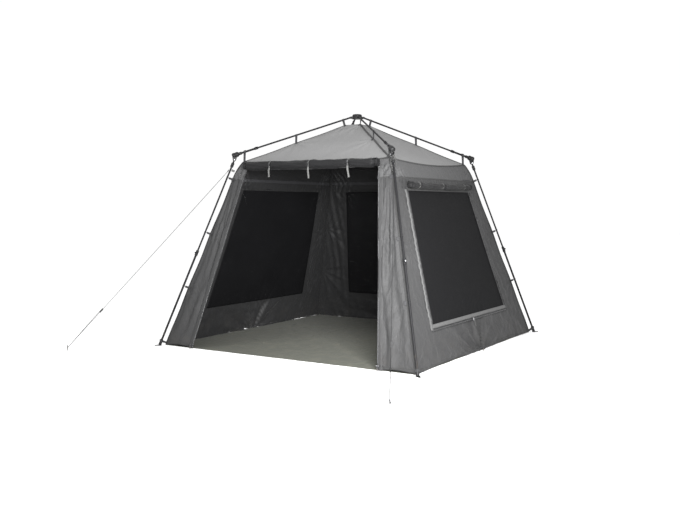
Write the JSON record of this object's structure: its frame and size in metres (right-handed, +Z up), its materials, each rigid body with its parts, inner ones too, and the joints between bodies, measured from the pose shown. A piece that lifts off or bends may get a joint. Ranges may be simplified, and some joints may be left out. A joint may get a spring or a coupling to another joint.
{
  "type": "pole tent",
  "caption": "Square quick-erect shelter tent: hub and elbow pole frame outside a canopy with mesh windows, rolled door, ground sheet and guys.",
  "frame": {"origin": "on the ground under the hub, at the middle of the square of feet", "axes": "+X to the right as one faces the doorway, -Y out of the doorway, +Z up"},
  "size_m": [3.4832, 3.6781, 2.1824],
  "materials": {
    "pole": "satin",
    "frame_plastic": "matte",
    "webbing": "matte",
    "button": "satin",
    "roof_cloth": "matte",
    "wall_cloth": "matte",
    "window_mesh": "matte",
    "cover_cloth": "matte",
    "door_cloth": "matte",
    "zip_metal": "satin",
    "ground_sheet": "matte",
    "peg_metal": "satin",
    "guy_rope": "matte",
    "runner_plastic": "matte"
  },
  "bodies": {
    "base": {"ground_sheet": "ground_sheet", "hem_pegs": "peg_metal", "guy_pegs": "peg_metal"},
    "hub": {"hub_base": "frame_plastic", "hub_cap": "frame_plastic"},
    "roof_front_left": {"roof_pole_inner_front_left": "pole", "roof_pole_outer_front_left": "pole", "elbow_bracket_front_left": "frame_plastic", "roof_panel_front": "roof_cloth"},
    "leg_front_left": {"leg_upper_front_left": "pole", "leg_hooks_front_left": "webbing", "wall_front": "wall_cloth", "shoulder_front": "wall_cloth", "door_roll": "door_cloth", "guy_rope_front_left": "guy_rope"},
    "shin_front_left": {"leg_lower_front_left": "pole", "foot_front_left": "frame_plastic"},
    "button_front_left": {"leg_button_front_left": "button"},
    "runner_front_left": {"guy_runner_front_left": "runner_plastic"},
    "roof_front_right": {"roof_pole_inner_front_right": "pole", "roof_pole_outer_front_right": "pole", "elbow_bracket_front_right": "frame_plastic", "roof_panel_right": "roof_cloth"},
    "leg_front_right": {"leg_upper_front_right": "pole", "leg_hooks_front_right": "webbing", "wall_right": "wall_cloth", "shoulder_right": "wall_cloth", "window_mesh_right": "window_mesh", "window_cover_right": "cover_cloth", "guy_rope_front_right": "guy_rope"},
    "shin_front_right": {"leg_lower_front_right": "pole", "foot_front_right": "frame_plastic"},
    "button_front_right": {"leg_button_front_right": "button"},
    "zip_right": {"zip_slider_right": "zip_metal"},
    "runner_front_right": {"guy_runner_front_right": "runner_plastic"},
    "roof_back_right": {"roof_pole_inner_back_right": "pole", "roof_pole_outer_back_right": "pole", "elbow_bracket_back_right": "frame_plastic", "roof_panel_back": "roof_cloth"},
    "leg_back_right": {"leg_upper_back_right": "pole", "leg_hooks_back_right": "webbing", "wall_back": "wall_cloth", "shoulder_back": "wall_cloth", "window_mesh_back": "window_mesh", "window_cover_back": "cover_cloth"},
    "shin_back_right": {"leg_lower_back_right": "pole", "foot_back_right": "frame_plastic"},
    "button_back_right": {"leg_button_back_right": "button"},
    "zip_back": {"zip_slider_back": "zip_metal"},
    "roof_back_left": {"roof_pole_inner_back_left": "pole", "roof_pole_outer_back_left": "pole", "elbow_bracket_back_left": "frame_plastic", "roof_panel_left": "roof_cloth"},
    "leg_back_left": {"leg_upper_back_left": "pole", "leg_hooks_back_left": "webbing", "wall_left": "wall_cloth", "shoulder_left": "wall_cloth", "window_mesh_left": "window_mesh", "window_cover_left": "cover_cloth"},
    "shin_back_left": {"leg_lower_back_left": "pole", "foot_back_left": "frame_plastic"},
    "button_back_left": {"leg_button_back_left": "button"},
    "zip_left": {"zip_slider_left": "zip_metal"}
  },
  "joints": [
    {"name": "frame_fold", "type": "slide", "parent": "base", "child": "hub", "axis": [0, 0, -1], "range_m": [0, 1.439], "deforming": ["roof_panel_front", "wall_front", "shoulder_front", "leg_hooks_front_left", "door_roll", "guy_rope_front_left", "guy_runner_front_left", "roof_panel_right", "wall_right", "shoulder_right", "leg_hooks_front_right", "window_mesh_right", "window_cover_right", "zip_slider_right", "guy_rope_front_right", "guy_runner_front_right", "roof_panel_back", "wall_back", "shoulder_back", "leg_hooks_back_right", "window_mesh_back", "window_cover_back", "zip_slider_back", "roof_panel_left", "wall_left", "shoulder_left", "leg_hooks_back_left", "window_mesh_left", "window_cover_left", "zip_slider_left"]},
    {"name": "roof_hinge_front_left", "type": "hinge", "parent": "hub", "child": "roof_front_left", "pos_m": [-0.04525, -0.04525, 2.15], "axis": [-0.7071, 0.7071, 0], "range_deg": [0, 108.67]},
    {"name": "elbow_hinge_front_left", "type": "hinge", "parent": "roof_front_left", "child": "leg_front_left", "pos_m": [-0.839, -0.839, 1.729], "axis": [0.7071, -0.7071, 0], "range_deg": [0, 130.95]},
    {"name": "leg_slide_front_left", "type": "slide", "parent": "leg_front_left", "child": "shin_front_left", "axis": [0.2681, 0.2681, 0.9253], "range_m": [0, 0.15]},
    {"name": "leg_button_front_left", "type": "slide", "parent": "shin_front_left", "child": "button_front_left", "axis": [0.6543, 0.6543, -0.3792], "range_m": [0, 0.003], "stiffness_N_per_m": 800, "springref_m": -0.002},
    {"name": "guy_slide_front_left", "type": "slide", "parent": "leg_front_left", "child": "runner_front_left", "axis": [-0.4457, -0.5064, -0.7382], "range_m": [-0.9, 0.3]},
    {"name": "roof_hinge_front_right", "type": "hinge", "parent": "hub", "child": "roof_front_right", "pos_m": [0.04525, -0.04525, 2.15], "axis": [-0.7071, -0.7071, 0], "range_deg": [0, 108.67]},
    {"name": "elbow_hinge_front_right", "type": "hinge", "parent": "roof_front_right", "child": "leg_front_right", "pos_m": [0.839, -0.839, 1.729], "axis": [0.7071, 0.7071, 0], "range_deg": [0, 130.95]},
    {"name": "leg_slide_front_right", "type": "slide", "parent": "leg_front_right", "child": "shin_front_right", "axis": [-0.2681, 0.2681, 0.9253], "range_m": [0, 0.15]},
    {"name": "leg_button_front_right", "type": "slide", "parent": "shin_front_right", "child": "button_front_right", "axis": [-0.6543, 0.6543, -0.3792], "range_m": [0, 0.003], "stiffness_N_per_m": 800, "springref_m": -0.002},
    {"name": "window_zip_right", "type": "slide", "parent": "leg_front_right", "child": "zip_right", "axis": [0, 1, 0], "range_m": [-0.78, 0.78]},
    {"name": "guy_slide_front_right", "type": "slide", "parent": "leg_front_right", "child": "runner_front_right", "axis": [0.3252, -0.6254, -0.7093], "range_m": [-0.9, 0.3]},
    {"name": "roof_hinge_back_right", "type": "hinge", "parent": "hub", "child": "roof_back_right", "pos_m": [0.04525, 0.04525, 2.15], "axis": [0.7071, -0.7071, 0], "range_deg": [0, 108.67]},
    {"name": "elbow_hinge_back_right", "type": "hinge", "parent": "roof_back_right", "child": "leg_back_right", "pos_m": [0.839, 0.839, 1.729], "axis": [-0.7071, 0.7071, 0], "range_deg": [0, 130.95]},
    {"name": "leg_slide_back_right", "type": "slide", "parent": "leg_back_right", "child": "shin_back_right", "axis": [-0.2681, -0.2681, 0.9253], "range_m": [0, 0.15]},
    {"name": "leg_button_back_right", "type": "slide", "parent": "shin_back_right", "child": "button_back_right", "axis": [-0.6543, -0.6543, -0.3792], "range_m": [0, 0.003], "stiffness_N_per_m": 800, "springref_m": -0.002},
    {"name": "window_zip_back", "type": "slide", "parent": "leg_back_right", "child": "zip_back", "axis": [-1, 0, 0], "range_m": [-0.78, 0.78]},
    {"name": "roof_hinge_back_left", "type": "hinge", "parent": "hub", "child": "roof_back_left", "pos_m": [-0.04525, 0.04525, 2.15], "axis": [0.7071, 0.7071, 0], "range_deg": [0, 108.67]},
    {"name": "elbow_hinge_back_left", "type": "hinge", "parent": "roof_back_left", "child": "leg_back_left", "pos_m": [-0.839, 0.839, 1.729], "axis": [-0.7071, -0.7071, 0], "range_deg": [0, 130.95]},
    {"name": "leg_slide_back_left", "type": "slide", "parent": "leg_back_left", "child": "shin_back_left", "axis": [0.2681, -0.2681, 0.9253], "range_m": [0, 0.15]},
    {"name": "leg_button_back_left", "type": "slide", "parent": "shin_back_left", "child": "button_back_left", "axis": [0.6543, -0.6543, -0.3792], "range_m": [0, 0.003], "stiffness_N_per_m": 800, "springref_m": -0.002},
    {"name": "window_zip_left", "type": "slide", "parent": "leg_back_left", "child": "zip_left", "axis": [0, -1, 0], "range_m": [-0.78, 0.78]}
  ],
  "couplings": [
    {"joint": "roof_hinge_front_left", "follows": "frame_fold", "rad_per_m": 1.3177},
    {"joint": "elbow_hinge_front_left", "follows": "frame_fold", "rad_per_m": 1.588},
    {"joint": "roof_hinge_front_right", "follows": "frame_fold", "rad_per_m": 1.3177},
    {"joint": "elbow_hinge_front_right", "follows": "frame_fold", "rad_per_m": 1.588},
    {"joint": "roof_hinge_back_right", "follows": "frame_fold", "rad_per_m": 1.3177},
    {"joint": "elbow_hinge_back_right", "follows": "frame_fold", "rad_per_m": 1.588},
    {"joint": "roof_hinge_back_left", "follows": "frame_fold", "rad_per_m": 1.3177},
    {"joint": "elbow_hinge_back_left", "follows": "frame_fold", "rad_per_m": 1.588}
  ]
}
